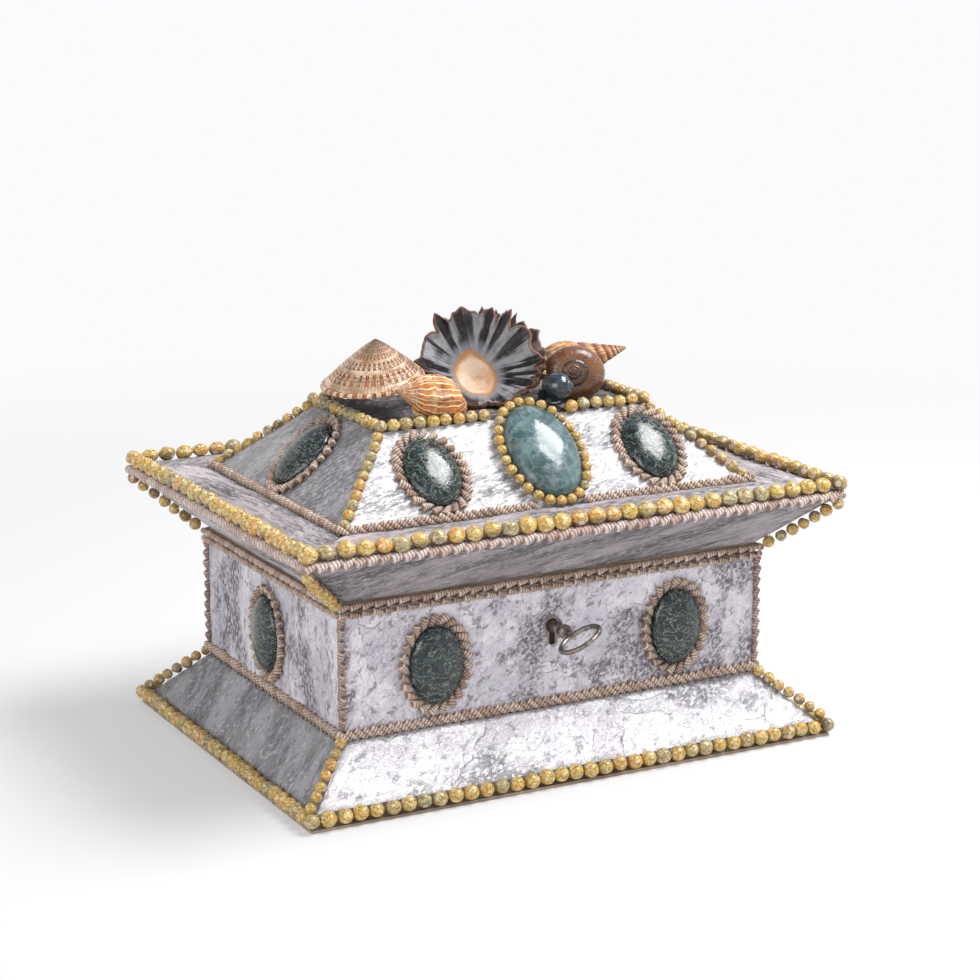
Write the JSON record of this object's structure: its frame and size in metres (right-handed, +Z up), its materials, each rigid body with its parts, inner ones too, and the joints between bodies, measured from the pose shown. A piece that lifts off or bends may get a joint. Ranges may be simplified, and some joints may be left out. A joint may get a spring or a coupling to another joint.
{
  "type": "shell box",
  "caption": "Rectangular casket on a splayed base, with a flared, hip-roofed lift-off lid, faced with flaky stone and trimmed with snail shells, oval green stones and a crown of large shells.",
  "frame": {"origin": "on the ground under the middle of the base board", "axes": "+X along the length, towards the right seen from the front; the front, with the key, faces -Y; +Z up"},
  "size_m": [0.3082, 0.2381, 0.2232],
  "materials": {
    "stone_veneer": "split, satin with glossy flakes",
    "bare_wood": "raw edge",
    "yellow_shell": "glossy",
    "spire_shell": "satin",
    "green_stone": "polished",
    "blue_green_stone": "polished",
    "aged_metal": "worn, satin",
    "pale_shell": "satin",
    "orange_shell": "satin",
    "grey_shell": "glossy",
    "tan_shell": "matte",
    "brown_shell": "glossy",
    "dark_shell": "glossy",
    "rust_shell": "satin"
  },
  "bodies": {
    "root": {"base_board": "bare_wood", "base_skirt": "stone_veneer", "case": "stone_veneer", "lid": "stone_veneer", "foot_beads": "yellow_shell", "roof_beads": "yellow_shell", "eave_beads": "yellow_shell", "cornice_hip_beads_front_left": "yellow_shell", "cornice_hip_beads_front_right": "yellow_shell", "cornice_hip_beads_back_right": "yellow_shell", "cornice_hip_beads_back_left": "yellow_shell", "case_foot_rope": "spire_shell", "case_rim_rope": "spire_shell", "lid_rim_rope": "spire_shell", "eave_rope": "spire_shell", "roof_foot_rope": "spire_shell", "case_corner_rope_front_left": "spire_shell", "case_corner_rope_front_right": "spire_shell", "case_corner_rope_back_right": "spire_shell", "case_corner_rope_back_left": "spire_shell", "lid_middle_stone": "blue_green_stone", "lid_middle_border": "yellow_shell", "lid_front_left_stone": "green_stone", "lid_front_left_border": "spire_shell", "lid_front_right_stone": "green_stone", "lid_front_right_border": "spire_shell", "lid_left_stone": "green_stone", "lid_left_border": "spire_shell", "lid_right_stone": "green_stone", "lid_right_border": "spire_shell", "lid_back_left_stone": "green_stone", "lid_back_left_border": "spire_shell", "lid_back_right_stone": "green_stone", "lid_back_right_border": "spire_shell", "case_front_left_stone": "green_stone", "case_front_left_border": "spire_shell", "case_front_right_stone": "green_stone", "case_front_right_border": "spire_shell", "case_left_stone": "green_stone", "case_left_border": "spire_shell", "case_right_stone": "green_stone", "case_right_border": "spire_shell", "case_back_left_stone": "green_stone", "case_back_left_border": "spire_shell", "case_back_right_stone": "green_stone", "case_back_right_border": "spire_shell", "key": "aged_metal", "sundial_shell": "pale_shell", "rock_snail_shell": "orange_shell", "limpet_shell": "grey_shell", "ribbed_shell": "tan_shell", "moon_snail_shell": "brown_shell", "top_snail_shell": "dark_shell", "auger_shell": "rust_shell"}
  },
  "joints": []
}
